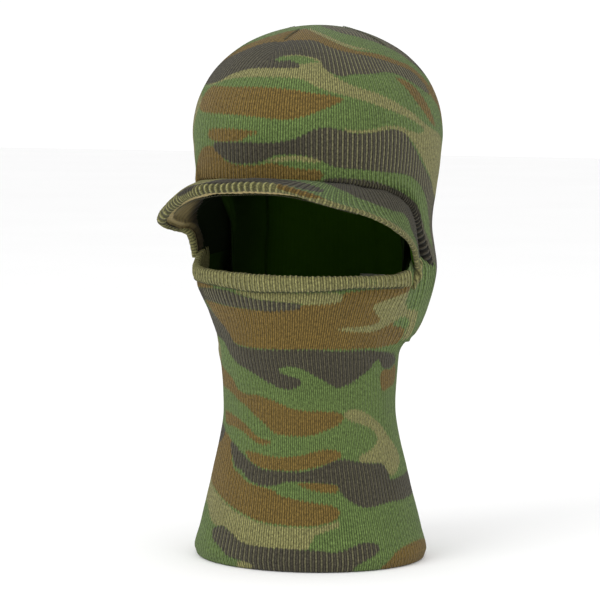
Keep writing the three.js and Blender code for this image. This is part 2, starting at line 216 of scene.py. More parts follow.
# ---- camouflage
# Each outline runs angle, height, angle, height: degrees round from the face, and millimetres up from the hem.
DEGREE = 1.45           # millimetres round for each degree
FACING = 27.5           # the middle of the repeat that the outlines make up
SKIRT_LIFT = 95         # how far up the mask's print goes to make the crown's skirt
CROWN_PRINT = {"brown": [
    [-62, 344, -46, 354, -25, 361, 0, 367, 20, 366, 38, 361, 50, 356, 60, 352, 72, 350, 84, 346, 96, 341, 104, 334,
     108, 326, 100, 322, 92, 332, 70, 342, 40, 350, 0, 354, -40, 345],
    [-42, 322, -35, 328, -20, 328, 0, 328, 12, 327, 20, 326, 28, 324, 36, 322.5, 43, 320, 40, 317, 35, 314, 30, 311,
     25, 308.5, 18, 306.5, 10, 307, 0, 308.5, -12, 309.5, -26, 310, -38, 311, -44, 315],
    [-27, 299, -15, 300, -5, 299.5, 3, 298.5, 3, 296.5, -2, 295, -5, 292.5, -12, 291, -20, 291, -28, 294],
    [-34, 286, -27, 288, -20, 286, -16, 279, -8, 276, 2, 276, 10, 277.5, 17, 275.5, 24, 273.5, 31, 273, 33, 268, 22,
     262, 0, 262, -30, 260, -56, 258, -50, 270, -40, 281],
    [75, 334, 83, 331, 89, 325, 94, 316, 98, 307, 100, 300, 94, 304, 89, 311, 84, 318, 80, 326],
    [104, 322, 110, 314, 114, 302, 122, 300, 124, 318, 114, 330],
], "tan": [
    [-40, 331, -30, 333, -22, 338, -10, 341, 5, 342, 20, 343, 33, 344, 37, 338, 42, 333, 50, 328, 58, 324.5, 66, 320,
     73, 315, 80, 310, 88, 303, 96, 298.5, 106, 294, 112, 288, 118, 276, 118, 258, 110, 250, 102, 258, 97, 266, 90,
     274, 84, 283, 79, 290, 73, 295, 66, 298, 58, 297, 50, 295.5, 43, 298, 42, 300.5, 48, 299, 56, 299.5, 62, 301.5,
     70, 301, 77, 298, 84, 296, 88, 298, 82, 303, 75, 307.5, 68, 311, 60, 315, 52, 319, 44, 322, 36, 325, 29, 329, 24,
     332.5, 18, 334, 4, 334.5, -10, 334.5, -22, 333, -30, 330.5, -42, 328],
    [-62, 322, -50, 322, -43, 318, -46, 308, -50, 296, -48, 284, -56, 270, -64, 262, -64, 300],
    [7, 279, 14, 281.5, 22, 282.5, 30, 281.5, 34, 279, 28, 278, 21, 279.5, 14, 278.5],
    [9, 349.5, 18, 350.5, 27, 349.5, 34, 347, 36, 343, 31, 345, 26, 347.3, 18, 348.6, 10, 347.8],
    [16, 367.5, 36, 363.5, 50, 358.5, 62, 354.5, 72, 352.3, 60, 353, 48, 356.5, 36, 361.2, 20, 366],
], "dark": [
    [-62, 336, -50, 345, -30, 352, -15, 357, 0, 359, 15, 359, 28, 358.5, 38, 355, 50, 351.5, 62, 349, 72, 346, 82,
     342.5, 92, 338, 99, 331, 102, 323, 97, 324, 91, 328, 84, 332.5, 78, 336, 70, 337.5, 60, 336.5, 50, 336.5, 43,
     335, 37, 338, 34, 341, 31.5, 346, 26, 348, 18, 349, 10, 348.5, 5, 346.5, 7, 344.8, 14, 345.2, 19, 343.5, 21, 341,
     12, 340.2, 0, 340.5, -10, 340, -20, 337, -27, 333, -34, 330.5, -50, 329, -64, 331],
    [38, 369.4, 56, 365, 72, 361, 88, 356, 98, 350, 106, 343, 114, 336, 122, 340, 122, 356, 100, 366, 70, 369.5],
    [-22, 290.5, -10, 291, 0, 291, 10, 291, 19, 293, 25, 296.5, 30, 300, 36, 301, 42, 299, 48, 297, 55, 297, 62,
     298.5, 68, 299, 74, 295.5, 78, 289, 82, 284, 86, 277, 92, 270, 98, 263, 104, 256, 112, 249, 124, 244, 124, 204,
     113, 188, 107, 202, 107.5, 220, 105, 232.5, 101, 240.5, 97.3, 248, 92.6, 254, 88.7, 259, 84, 263.5, 78, 267.5,
     70, 269.5, 60, 271, 50, 273, 42, 274, 38, 275, 34, 278, 29, 281, 22, 283, 13, 283, 9, 281, 5, 278.5, 0, 277, -9,
     277, -15, 279, -20, 283, -24, 287],
    [34, 266.5, 45, 267, 56, 265, 68, 259.5, 80, 251, 88, 244, 96, 232, 104, 218, 112, 204, 113, 178, 106, 172, 98,
     190, 90, 214, 78, 236, 66, 248, 50, 256, 38, 258],
]}
MASK_PRINT = {"brown": [
    [-46, 182, -30, 180, 0, 178, 22, 182, 40, 185, 44, 190, 66, 192, 84, 192, 86, 190, 84, 188, 84.5, 178, 84, 170,
     81, 167, 82, 164.5, 86, 162.8, 88.5, 161, 89, 156, 88.5, 150.5, 85, 150, 60, 150, 35, 151, 0, 151, -20, 152.5,
     -28, 156, -36, 166, -44, 173],
    [-64, 137, -48, 134, -38, 130, -32, 126, -28, 121, -20, 118, -10, 118, 0, 115.5, 8, 112.5, 14, 110, 22, 108.5, 32,
     108, 42, 107.5, 48, 105.5, 49, 102.5, 44, 98, 36, 95, 28, 92, 20, 91, 10, 91.5, 3, 92.5, -2, 96.5, -8, 101, -14,
     105, -19, 109, -28, 113, -40, 118, -64, 122],
    [-50, 103, -38, 102, -28, 100, -20, 96.5, -12, 91, -6, 88, 0, 87, -1, 84.5, -8, 84.5, -15, 88, -24, 92, -34, 94,
     -46, 95],
    [-62, 86, -48, 89, -35, 85, -31, 76, -28, 67, -20, 62, -12, 57.5, -4, 56, 4, 54, 8, 51, 20, 48, 30, 46, 37, 44.5,
     41, 41, 40, 37, 35, 33.5, 24, 31, 8, 31.5, -3, 33, -12, 36, -22, 40, -32, 44, -44, 49, -62, 56],
    [-18, 79, -8, 78, 4, 76.5, 18, 77.5, 28, 80.5, 37, 82, 44, 80.5, 45, 77, 38, 73, 28, 70, 18, 68, 4, 67.5, -6, 69,
     -14, 73],
    [79, 131, 84, 134, 92, 133, 100, 136, 106, 128, 99, 122, 90, 121, 83, 119, 79.5, 123],
    [19, 59.5, 30, 60, 40, 58.5, 41, 54, 36, 53, 28, 54.5, 21, 57],
    [63, -6, 67, 6, 72, 11, 80, 14, 92, 15, 104, 14, 114, 10, 116, -6],
    [-80, 197, -56, 197, -41, 194.5, -30, 190.8, -42, 189.4, -58, 188.6, -80, 188],
], "tan": [
    [-14, 190, 0, 190, 20, 190, 38, 190, 43, 186.5, 40, 183, 30, 182, 22, 182.5, 8, 183.5, -2, 185, -10, 187],
    # The second tan outline is tan print on the cheek; its arm from 85 to 95 degrees, down the fold, is a painted
    # highlight on the fold, in tan.
    [62, 180, 70, 184, 78, 186.5, 83.5, 188.2, 84.8, 185, 85, 180, 87, 175.5, 90, 174, 93, 173, 94.6, 166, 95, 158,
     93.5, 153, 90, 153.5, 89.4, 159, 90.3, 164.5, 89, 168.5, 85.5, 170, 82, 168, 76, 164, 68, 161.8, 55, 162.3, 46,
     163.5, 43.5, 165.2, 54, 165.8, 65, 166.4, 71, 169, 66, 174],
    [50, 107, 57, 108.5, 65, 106, 73, 101, 80, 95, 87, 86, 93, 79, 96, 72, 91, 65.5, 81, 61, 77, 66, 73, 70, 66, 71,
     57, 72, 58, 77, 64, 79, 71, 83, 74, 88, 70, 94, 63, 97.5, 55, 100, 50, 103.5],
    [-62, 55, -44, 48, -32, 43, -22, 38.5, -12, 35, -3, 32, 8, 30.5, 24, 30, 35, 32.5, 40, 34, 40, 31, 34, 28, 27.5,
     25, 25, 20.5, 22.5, 15.5, 12, 15, 2, 15, -8, 15.5, -15, 18, -20, 22, -27, 26, -34, 25.5, -42, 30, -50, 36, -62,
     41],
    [-64, 160, -54, 158, -48, 150, -50, 140, -64, 138],
    [-12, 4, 0, 3, 6, 1, 2, -4, -14, -4],
    [104, 158, 112, 150, 116, 132, 112, 118, 120, 112, 124, 140, 118, 162],
], "dark": [
    [-68, 187, -50, 188.6, -38, 189.8, -28, 190.4, -20, 190, -12, 187.5, -4, 185.5, 6, 184, 15, 183.5, 21, 182.5, 22,
     179.5, 14, 178, 4, 177, -8, 178, -20, 179, -32, 180.5, -44, 181, -54, 180.5, -68, 182],
    [-68, 184, -58, 181.5, -50, 176, -40, 170, -34, 165, -29, 160, -26, 155, -21, 152, -10, 151, 0, 150.5, 15, 151,
     32, 151, 45, 149.5, 60, 149, 72, 148, 80, 146.5, 88, 144, 95, 142.5, 102, 139, 99, 136, 92, 134.5, 85, 134, 80,
     137, 78, 141, 73, 139.5, 68, 135, 62, 131, 55, 127, 50, 125, 45, 124, 41, 126, 37, 129, 33, 131.5, 29, 134, 25,
     137, 20, 138.8, 14, 139, 9, 137.5, 10, 134.5, 16, 132.3, 21, 130.5, 22, 127, 18, 124.3, 12, 123, 6, 124.5, -1,
     128, -8, 132, -16, 136, -25, 140, -32, 146, -38, 152, -48, 156, -68, 158],
    [-64, 93, -50, 92, -46, 88, -50, 82, -64, 79],
    [-34, 83.5, -29, 82, -25, 79, -20, 76, -12, 71, -3, 67.5, 10, 67, 20, 67, 26, 68.5, 33, 71, 40, 74, 47, 75, 53,
     73.5, 60, 72, 67, 71, 74, 70, 78, 64.5, 79, 59, 88, 59, 98, 60, 118, 60, 120, 46, 104, 45, 94, 44.5, 84, 44, 74,
     44, 66, 43, 57, 42, 51, 44.5, 46, 48.5, 42.5, 53, 40.5, 58, 30, 60, 20, 60.5, 11, 60, 5, 57.5, -2, 56.5, -9, 58,
     -14, 61, -19, 65, -25, 67, -29, 72, -33, 78],
    [-36, 22, -32, 25, -27, 26, -20, 23, -14, 18.5, -6, 16.5, 5, 15.8, 15, 15.5, 28, 15, 36, 13.5, 42, 15, 47, 17.5,
     52, 19, 58, 18.5, 61, 15, 57, 10, 51, 6, 46, 1, 44, -6, -2, -6, -5, 2.5, -14, 5, -20, 7, -26, 12, -33, 16],
]}
# The visor's: degrees round from its tip, then the share of the way from root to rolled edge, in tenths.
VISOR_PRINT = {"brown": [
    [26, 10, 31, 9.9, 38, 10.2, 44, 10.8, 45, 11.8, 40, 13, 32, 13.2, 27, 12.8],
], "tan": [
    [-85, -4, 13, -4, 19, 3, 17, 8, 26, 10.2, 28, 12.2, 38, 12.5, 44, 11, 51, 10.7, 102, 11.2, 102, 30, -83, 30],
], "dark": [
    # The first dark outline runs along the root: dark print, and painted shade where the crown's rolled edge
    # overhangs the root.
    [33, -3, 50, -3, 65, -3, 80, -3, 94, -4, 98, -4, 98, 7.6, 93, 8.3, 89.5, 8.0, 86, 7.7, 83, 6.9, 80.5, 6.0, 77,
     5.6, 70, 6.5, 61, 6.8, 53, 6, 46, 4.6, 39, 2.5],
    [-34, 7, -24, 7, -14, 8, -10, 11, -20, 12, -32, 11],
    [-14, 7, -13, 10.2, -4, 10.8, 10, 10.8, 22, 10.4, 32, 9.6, 41, 8.4, 40, 6.6, 30, 5.6, 16, 4, 0, 4],
]}


def height_along(z):
    """Height turned into distance along the cloth, so that outlines keep their shape over the dome."""
    down = np.linspace(90, 0, 91)
    ring = dome(0, down)
    along = np.r_[0, np.cumsum(np.hypot(np.diff(ring[:, 1]), np.diff(ring[:, 2])))]
    return np.where(z > DOME_BASE, DOME_BASE + np.interp(z, ring[:, 2], along), z)


def rounded(outline, steps=5):
    """The closed smooth curve through an outline's corners."""
    p = np.array(outline, float)
    a, b, c, d = np.roll(p, 1, 0), p, np.roll(p, -1, 0), np.roll(p, -2, 0)
    t = np.arange(steps)[:, None, None] / steps
    q = b + (c - a) * t / 2 + (a * 2 - b * 5 + c * 4 - d) * t**2 / 2 + (b * 3 - a - c * 3 + d) * t**3 / 2
    return q.transpose(1, 0, 2).reshape(-1, 2)


INK_REACH = 6.0


def signed_distance(points, outlines):
    """Distance inside (positive) or outside the nearest outline, within INK_REACH."""
    best = np.full(len(points), -INK_REACH)
    for outline in outlines:
        line = rounded(outline)
        near = np.all((points > line.min(0) - INK_REACH) & (points < line.max(0) + INK_REACH), 1)
        p = points[near]
        if not len(p):
            continue
        nearest = np.full(len(p), INK_REACH**2)
        inside = np.zeros(len(p), bool)
        for a, b in zip(line, np.roll(line, -1, 0)):
            ab = b - a
            t = np.clip(((p - a) @ ab) / max(ab @ ab, 1e-9), 0, 1)
            gap = p - a - t[:, None] * ab
            nearest = np.minimum(nearest, (gap**2).sum(1))
            if a[1] != b[1]:
                crosses = (a[1] > p[:, 1]) != (b[1] > p[:, 1])
                inside ^= crosses & (p[:, 0] < ab[0] * (p[:, 1] - a[1]) / ab[1] + a[0])
        best[near] = np.maximum(best[near], np.sqrt(nearest) * np.where(inside, 1, -1))
    return best


def print_of(patterns, degrees, height, across=DEGREE, up=1.0, along=None):
    """The three inks over the green, at points given by angle and height."""
    along = along or (lambda z: z)
    points = np.stack([np.ravel(degrees) * across, np.ravel(along(height)) * up], 1)
    inks = {}
    for ink, outlines in patterns.items():
        scaled = []
        for outline in outlines:
            o = np.array(outline, float).reshape(-1, 2)
            scaled.append(np.stack([o[:, 0] * across, along(o[:, 1]) * up], 1))
        inks[ink] = signed_distance(points, scaled).reshape(np.shape(degrees))
    return inks


def print_round(patterns, degrees, height, along=None, skirt=None):
    """The print right round the garment: the repeat comes again behind, and the two run together at the sides.
    skirt is the print that the lower part of the back has instead."""
    around = np.mod(degrees[:, 0] - FACING + 180, 360) - 180
    folded = np.where(np.abs(around) > 90, np.sign(around) * 180 - around, around) + FACING
    again = around - np.sign(around) * 180 + FACING
    behind = ease(np.abs(around), 90, 112)
    inks = {ink: np.zeros(degrees.shape) for ink in patterns}
    for angle, share in ((folded, 1 - behind), (again, behind)):
        used = share > 0
        wide = np.broadcast_to(angle[used, None], height[used].shape)
        found = print_of(patterns, wide, height[used], along=along)
        if skirt and angle is again:
            lower = print_of(skirt, wide, height[used] - SKIRT_LIFT)
            low = ease(height[used], 262, 236)
            found = {ink: mix(found[ink], lower[ink], low) for ink in found}
        for ink in found:
            inks[ink][used] += found[ink] * share[used, None]
    return inks


# ---- meshes
def linked(name, data):
    made = bpy.data.objects.new(name, data)
    bpy.context.scene.collection.objects.link(made)
    return made


def grid_piece(name, points, closed, flip, attributes, materials, face_material=None):
    """A mesh over a grid of points (round, along), with the knit's coordinates as attributes."""
    nu, nv = points.shape[:2]
    mesh = bpy.data.meshes.new(name)
    i = np.arange(nu if closed else nu - 1)
    j = np.arange(nv - 1)
    ii, jj = np.meshgrid(i, j, indexing="ij")
    a, b = ii * nv + jj, (ii + 1) % nu * nv + jj
    quads = np.stack([a, b, b + 1, a + 1], -1).reshape(-1, 4)
    if flip:
        quads = quads[:, ::-1]
    flat = to_frame(points.reshape(-1, 3))
    mesh.vertices.add(len(flat))
    mesh.vertices.foreach_set("co", flat.astype(np.float32).ravel())
    mesh.loops.add(quads.size)
    mesh.loops.foreach_set("vertex_index", quads.astype(np.int32).ravel())
    mesh.polygons.add(len(quads))
    mesh.polygons.foreach_set("loop_start", np.arange(0, quads.size, 4, dtype=np.int32))
    mesh.polygons.foreach_set("loop_total", np.full(len(quads), 4, np.int32))
    mesh.update(calc_edges=True)
    mesh.polygons.foreach_set("use_smooth", np.ones(len(quads), bool))
    for key, values in attributes.items():
        layer = mesh.attributes.new(key, "FLOAT", "POINT")
        layer.data.foreach_set("value", np.broadcast_to(values, (nu, nv)).astype(np.float32).ravel())
    for m in materials:
        mesh.materials.append(m)
    if face_material is not None:
        picked = np.broadcast_to(face_material, (len(i), len(j))).astype(np.int32)
        mesh.polygons.foreach_set("material_index", picked.ravel())
    mesh.validate()
    return linked(name, mesh)


def knit(wale, course, inks=None, opened=0.3, painted_shade=0.0):
    """opened is how far the wales stand apart; the last argument is how dark the painted shade is, between the wales
    and over the shaded parts of plain cloth.
    """
    made = {"wale": wale, "course": course, "opened": opened, "painted_shade": painted_shade}
    for ink in CROWN_PRINT:
        made["ink_" + ink] = inks[ink] if inks else -INK_REACH
    return made


def rib(wale):
    """1 on a raised wale, -1 halfway to the next."""
    return np.cos(TURN * wale)


# ---- materials
class Nodes:
    """Short names for building a material's node tree."""

    def __init__(self, name):
        self.material = bpy.data.materials.new(name)
        self.material.use_nodes = True
        self.tree = self.material.node_tree
        self.bsdf = self.tree.nodes["Principled BSDF"]

    def put(self, socket, value):
        if isinstance(value, bpy.types.NodeSocket):
            self.tree.links.new(value, socket)
        elif isinstance(value, tuple) and len(value) == 3 and socket.type == "RGBA":
            socket.default_value = (*value, 1)
        else:
            socket.default_value = value

    def add(self, kind, inputs=(), **settings):
        """A new node with these settings, and values for its inputs by name or number."""
        n = self.tree.nodes.new("ShaderNode" + kind)
        for key, value in settings.items():
            setattr(n, key, value)
        for key, value in dict(inputs).items():
            self.put(n.inputs[key], value)
        return n

    def attribute(self, name):
        return self.add("Attribute", attribute_name=name).outputs["Fac"]

    def place(self):
        return self.add("TexCoord").outputs["Object"]

    def math(self, operation, a, b=0.0, c=0.0):
        return self.add("Math", enumerate((a, b, c)), operation=operation).outputs[0]

    def wave(self, angle):
        return self.math("MULTIPLY_ADD", self.math("COSINE", angle), 0.5, 0.5)

    def step(self, value, low, high, to_low=0.0, to_high=1.0):
        inputs = {"Value": value, "From Min": low, "From Max": high, "To Min": to_low, "To Max": to_high}
        return self.add("MapRange", inputs, interpolation_type="SMOOTHSTEP").outputs["Result"]

    def blend(self, factor, a, b, kind="MIX"):
        n = self.add("Mix", {"Factor": factor}, data_type="RGBA", blend_type=kind, clamp_result=False)
        for socket, value in zip((s for s in n.inputs if s.type == "RGBA"), (a, b)):
            self.put(socket, value)
        return next(s for s in n.outputs if s.type == "RGBA")

    def tones(self, factor, colour, low, high):
        """From the low share of a colour to its high share."""
        return self.blend(factor, tuple(c * low for c in colour), tuple(c * high for c in colour))

    def shade(self, colour, value):
        """A colour multiplied by one value."""
        grey = self.add("CombineColor", enumerate([value] * 3)).outputs[0]
        return self.blend(1.0, colour, grey, "MULTIPLY")

    def noise(self, scale, detail=3.0, where=None, roughness=0.5):
        where = self.place() if where is None else where
        inputs = {"Scale": scale, "Detail": detail, "Roughness": roughness, "Vector": where}
        return self.add("TexNoise", inputs).outputs["Fac"]

    def bump(self, height, distance):
        n = self.add("Bump", {"Distance": distance, "Strength": 1.0, "Height": height})
        self.put(self.bsdf.inputs["Normal"], n.outputs["Normal"])

    def surface(self, colour, roughness=0.95, sheen=0.0, specular=0.15):
        finish = {"Base Color": colour, "Roughness": roughness, "Sheen Weight": sheen, "Sheen Roughness": 0.6,
                  "Specular IOR Level": specular}
        for key, value in finish.items():
            self.put(self.bsdf.inputs[key], value)
        return self.material


GREEN = (0.090, 0.134, 0.038)
INKS = {"brown": (0.124, 0.081, 0.019), "tan": (0.176, 0.168, 0.065), "dark": (0.043, 0.038, 0.026)}
YARN = (0.118, 0.112, 0.056)      # undyed yarn between the printed wales
PAINTED_SHADOW = (0.006, 0.006, 0.004)    # painted shadow: the deepest shade between two wales
OLIVE = (0.300, 0.238, 0.100)
INSIDE = (0.030, 0.085, 0.001)


def knit_height(n):
    """Raised wales built from stitches, with loose fibres on top."""
    once, twice = (n.math("MULTIPLY", n.attribute("wale"), turns * math.pi) for turns in (2, 4))
    raised, stem = n.wave(once), n.wave(twice)
    lean = n.math("MULTIPLY", n.math("COSINE", twice), 1.3)
    loop = n.wave(n.math("MULTIPLY_ADD", n.attribute("course"), TURN, lean))
    fuzz = n.noise(2600, 2.0)
    height = n.math("MULTIPLY_ADD", loop, 0.22, n.math("MULTIPLY", raised, 0.55))
    height = n.math("MULTIPLY_ADD", stem, 0.30, height)
    return raised, stem, fuzz, n.math("MULTIPLY_ADD", fuzz, 0.35, height)


def heather(n):
    """Yarn that differs from stitch to stitch, in long flecks that follow the wales."""
    across, up = n.math("MULTIPLY", n.attribute("wale"), 3.6), n.math("MULTIPLY", n.attribute("course"), 0.55)
    return n.noise(1.0, 3.0, n.add("CombineXYZ", {0: across, 1: up}).outputs[0], 0.7)


def camo_material(name):
    n = Nodes(name)
    raised, stem, fuzz, height = knit_height(n)
    ragged = n.math("MULTIPLY", n.math("SUBTRACT", n.noise(650, 2.0), 0.5), 2.6)
    reach = n.math("ADD", ragged, n.math("MULTIPLY_ADD", raised, 0.9, -0.45))
    patchy = n.noise(38, 3.0)
    colour = n.tones(patchy, GREEN, 0.86, 1.14)
    for ink, shade in INKS.items():
        inked = n.step(n.math("ADD", n.attribute("ink_" + ink), reach), -0.7, 0.7)
        colour = n.blend(inked, colour, n.tones(patchy, shade, 0.86, 1.14))
    # Between the wales the last ink, dark, misses the yarn, which is darkened towards painted shadow, and lighter
    # inks are darkened with painted shade.
    sunk = n.step(raised, 0.06, 0.5, 1.0, 0.0)
    in_shadow = n.shade(colour, n.step(n.attribute("painted_shade"), 0.0, 1.0, 0.92, 0.16))
    sunk_colour = n.blend(inked, in_shadow, n.blend(n.attribute("painted_shade"), YARN, PAINTED_SHADOW))
    seen = n.math("MULTIPLY", sunk, n.step(n.attribute("opened"), 0.0, 1.0, 0.18, 0.95))
    seen = n.math("MAXIMUM", seen, n.math("MULTIPLY", sunk, n.attribute("painted_shade")))
    colour = n.blend(seen, colour, sunk_colour)
    # Painted shade in lines between neighbouring wales, with a little painted light on the wales, and flecked yarn.
    gap = n.step(stem, 0.0, 0.75, 0.42, 1.13)
    fleck = n.step(heather(n), 0.30, 0.70, 0.50, 1.54)
    speck = n.math("MULTIPLY_ADD", fuzz, 1.2, 0.40)
    weave = n.math("MULTIPLY", n.math("MULTIPLY", fleck, speck), gap)
    n.bump(height, 0.00045)
    return n.surface(n.shade(colour, weave), n.step(fuzz, 0.2, 0.8, 0.88, 1.0), sheen=0.06)


def plain_knit(name, colour, depth=0.0004, sheen=0.08, valley_shade=0.6):
    n = Nodes(name)
    raised, _, fuzz, height = knit_height(n)
    tone = n.tones(n.noise(45, 3.0), colour, 0.85, 1.15)
    # Painted shade in the valleys between the wales, lighter loose fibres, then more painted shade where the piece's
    # attribute for it asks.
    sunk = n.step(raised, 0.0, 0.45, valley_shade, 0.0)
    tone = n.blend(sunk, tone, tuple(c * 0.45 for c in colour))
    tone = n.blend(n.math("MULTIPLY", fuzz, 0.35), tone, tuple(c * 1.7 for c in colour))
    tone = n.shade(tone, n.step(n.attribute("painted_shade"), 0.0, 1.0, 1.0, 0.07))
    n.bump(height, depth)
    return n.surface(tone, 0.96, sheen=sheen)


def thread_material(name, colour):
    n = Nodes(name)
    strand = n.noise(5200, 2.0)
    n.bump(strand, 0.0002)
    return n.surface(n.tones(strand, colour, 0.6, 1.4), 0.8, sheen=0.1)


def board_material(name):
    n = Nodes(name)
    grain = n.noise(900, 4.0)
    tone = n.blend(grain, (0.008, 0.008, 0.007), (0.02, 0.02, 0.018))
    n.bump(grain, 0.0001)
    return n.surface(tone, n.step(grain, 0.3, 0.7, 0.45, 0.65), specular=0.4)


def label_material(name):
    n = Nodes(name)
    weave = n.add("TexWave", {"Scale": 900, "Distortion": 1.5, "Vector": n.place()}).outputs["Fac"]
    tone = n.blend(weave, (0.50, 0.48, 0.43), (0.62, 0.60, 0.55))
    n.bump(weave, 0.0001)
    return n.surface(tone, 0.85, sheen=0.1)


camo = camo_material("camo_knit")
olive = plain_knit("olive_knit", OLIVE)
inner = plain_knit("dark_knit", INSIDE, depth=0.0001, sheen=0.0, valley_shade=0.15)
thread = thread_material("overlock_thread", (0.060, 0.060, 0.028))
board = board_material("visor_board")
label_cloth = label_material("label_cloth")


# ---- crown
# The columns of the crown and the mask, in degrees: close together as far round as FINE, and wider behind.
FINE = 112.0
columns = np.r_[np.arange(-FINE, FINE, 0.31), np.linspace(FINE, 360 - FINE, 130, endpoint=False)]
columns = np.sort(np.where(columns > 180, columns - 360, columns))
DOME_ROWS, SIDE_ROWS, ROLL_ROWS = 54, 44, 14
LINING_ROWS = 34        # on the dome; one fewer below it
LINING_GAP = 3.8        # between the crown's outside and the lining
ROLL_TURN = 215.0       # degrees that the rolled edge turns through
ROPE_ROWS = 2           # rows of the side that have the rolled edge's wales
ROPE_FROM = 45.0        # degrees round, where the rolled edge's wales begin to get finer


def rope_wale(wale):
    """The crown's wales, made finer towards the cheeks."""
    past = np.maximum(np.abs(wale) - crown_wale(np.array(ROPE_FROM), 1.0), 0)
    return wale + np.sign(wale) * 0.55 * past ** 2 / (past + 2)


def crown_piece():
    deg = columns[:, None]
    around = np.abs(deg)
    down = np.r_[0.05, np.linspace(1.6, 90, DOME_ROWS)][None, :]
    top = dome(deg, down)
    edge = crown_edge(around)
    z = mix(DOME_BASE, edge, row_of(0, 1, SIDE_ROWS)[:, 1:])
    side = hood(deg, z)
    # A doubled row, where the crown's wales change to the finer ones of the rolled edge.
    z, side = (np.concatenate([a[:, :-ROPE_ROWS], a[:, -ROPE_ROWS - 1:]], 1) for a in (z, side))
    # The edge turns under in a roll.
    rim = side[:, -1]
    along = unit(np.roll(rim, -2, 0) - np.roll(rim, 2, 0))
    out = outward_of(rim, HOOD_Y)
    out = unit(out - along * (out * along).sum(1, keepdims=True))
    away = np.cross(along, out)
    radius = mix(2.4, 4.4, ease(around, 66, 90)) * (1 - 0.8 * ease(around, 102, 108)) + 2.2 * ease(around, 112, 125)
    turn = np.radians(row_of(0, ROLL_TURN, ROLL_ROWS + 1)[:, 1:])
    r, a = radius[:, :, None], turn[..., None]
    roll = rim[:, None] + away[:, None] * r * np.sin(a) - out[:, None] * r * (1 - np.cos(a))
    points = np.concatenate([top, side, roll], 1)
    rows, on_dome = points.shape[1], top.shape[1]
    rim_row = on_dome + side.shape[1] - 1
    d = np.broadcast_to(deg, (len(columns), rows))
    zed = points[..., 2].copy()
    zed[:, rim_row + 1:] = zed[:, rim_row, None] - radius * turn * 0.8
    share = np.concatenate([np.sin(np.radians(down)), np.ones((1, rows - on_dome))], 1)
    wale = crown_wale(d, share)
    rope = np.s_[:, rim_row - ROPE_ROWS:]
    wale[rope] = rope_wale(wale[rope])
    to_edge = np.concatenate([np.full(top.shape[:2], 90.0), z - edge, np.zeros(roll.shape[:2])], 1)
    n = -normals(points, True)
    # The cloth puffs out above the roll, and dives under the cheeks where the roll ends.
    puff = 1.5 * hump(to_edge, 0, 6) * ease(around, 106, 100) * mix(0.55, 1.0, ease(around, 35, 75))
    near_edge = hump(to_edge, 0, 7) * ease(around, 110, 104)
    deep = mix(0.09, 0.75, near_edge * mix(0.2, 1.0, ease(around, 30, 70)))
    relief = rib(wale) * deep * ease(share, 0.3, 0.7)
    slack = 0.7 * soft_noise(d * DEGREE, zed, 90, 3) * ease(share, 0.2, 0.6)
    dent = -1.1 * hump(around, 0, 5.5) * hump(share, 0.45, 0.25)
    dive = -4.5 * hump(to_edge, 0, 7) * ease(around, 100.5, 103) * ease(around, 118, 112)
    lift = n * (puff + slack + dent + dive * ease(zed, 210, 202))[..., None]
    lift[:, rim_row + 1:] = lift[:, rim_row, None]
    points = points + n * relief[..., None] + lift
    inks = print_round(CROWN_PRINT, d, zed, along=height_along, skirt=MASK_PRINT)
    opened = ease(d, 18, 50) * 0.9 + 0.1 + 0.2 * soft_noise(d * DEGREE, zed, 60, 5)
    # Painted shade between the wales near the rolled edge, stronger towards the sides.
    painted_shade = near_edge * mix(0.3, 1.0, ease(around, 55, 80))
    attributes = knit(wale, height_along(zed) / COURSE, inks, opened, painted_shade)
    piece = grid_piece("crown_knit", points, True, True, attributes, [camo])
    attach(piece, "hood")
    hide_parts("crown_shell", "crown_edge_roll_left", "crown_edge_roll_right")
    return piece


crown = crown_piece()


def lining_piece():
    deg = RING[:, None]
    down = np.r_[0.05, np.linspace(2.6, 90, LINING_ROWS - 1)][None, :]
    # It comes down further forward on the wearer's right, where the opening lets its edge be seen.
    around = np.abs(deg) + np.where(deg < 0, 7, 0)
    bottom = mix(crown_edge(np.abs(deg)) + 2.5, 160, ease(around, 88, 93))
    z = mix(DOME_BASE, bottom, row_of(0, 1, LINING_ROWS)[:, 1:])
    behind_roll = 10.5 * ease(around, 86, 91) * ease(around, 128, 120) * ease(z, 268, 244)
    points = np.concatenate([dome(deg, down, -LINING_GAP), hood(deg, z, -LINING_GAP - behind_roll)], 1)
    d = np.broadcast_to(deg, points.shape[:2])
    points = points + normals(points, True) * (0.5 * soft_noise(d * DEGREE, points[..., 2], 40, 9))[..., None]
    share = np.clip(np.hypot(points[..., 0] / HALF_WIDTH, (points[..., 1] - HOOD_Y) / HALF_DEPTH), 0, 1)
    share[:, LINING_ROWS:] = 1
    # Painted shade on the lining, darkest at the front and low down, near the opening.
    shaded = 0.7 * ease(np.abs(d), 150, 92) * ease(points[..., 2], 285, 255)
    attributes = knit(crown_wale(d, share), points[..., 2] / COURSE, painted_shade=shaded)
    piece = grid_piece("crown_lining_knit", points, True, False, attributes, [inner])
    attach(piece, "hood")
    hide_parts("crown_lining")
    return piece


lining = lining_piece()


# ---- mask tube and cheeks
MASK_ROWS, INNER_ROWS = 96, 60
HEM_FOLD, HEM_UP = 1.4, 19.0      # the fold's radius, and how far the hem runs back up inside
INNER_GAP = 2.4                   # between the mask's outside and its inner face
mask_top = curve([
    [0, 200], [77, 200], [82, 203], [88, 213], [94, 224], [100, 221], [105, 207], [109, 178], [114, 166], [180, 166]])


def tube_top(deg):
    """The wearer's right cheek reaches further up, under the visor's wing."""
    around = np.abs(deg)
    return mask_top(around) + np.where(deg < 0, 16 * ease(around, 75, 82) * ease(around, 98, 86), 0)


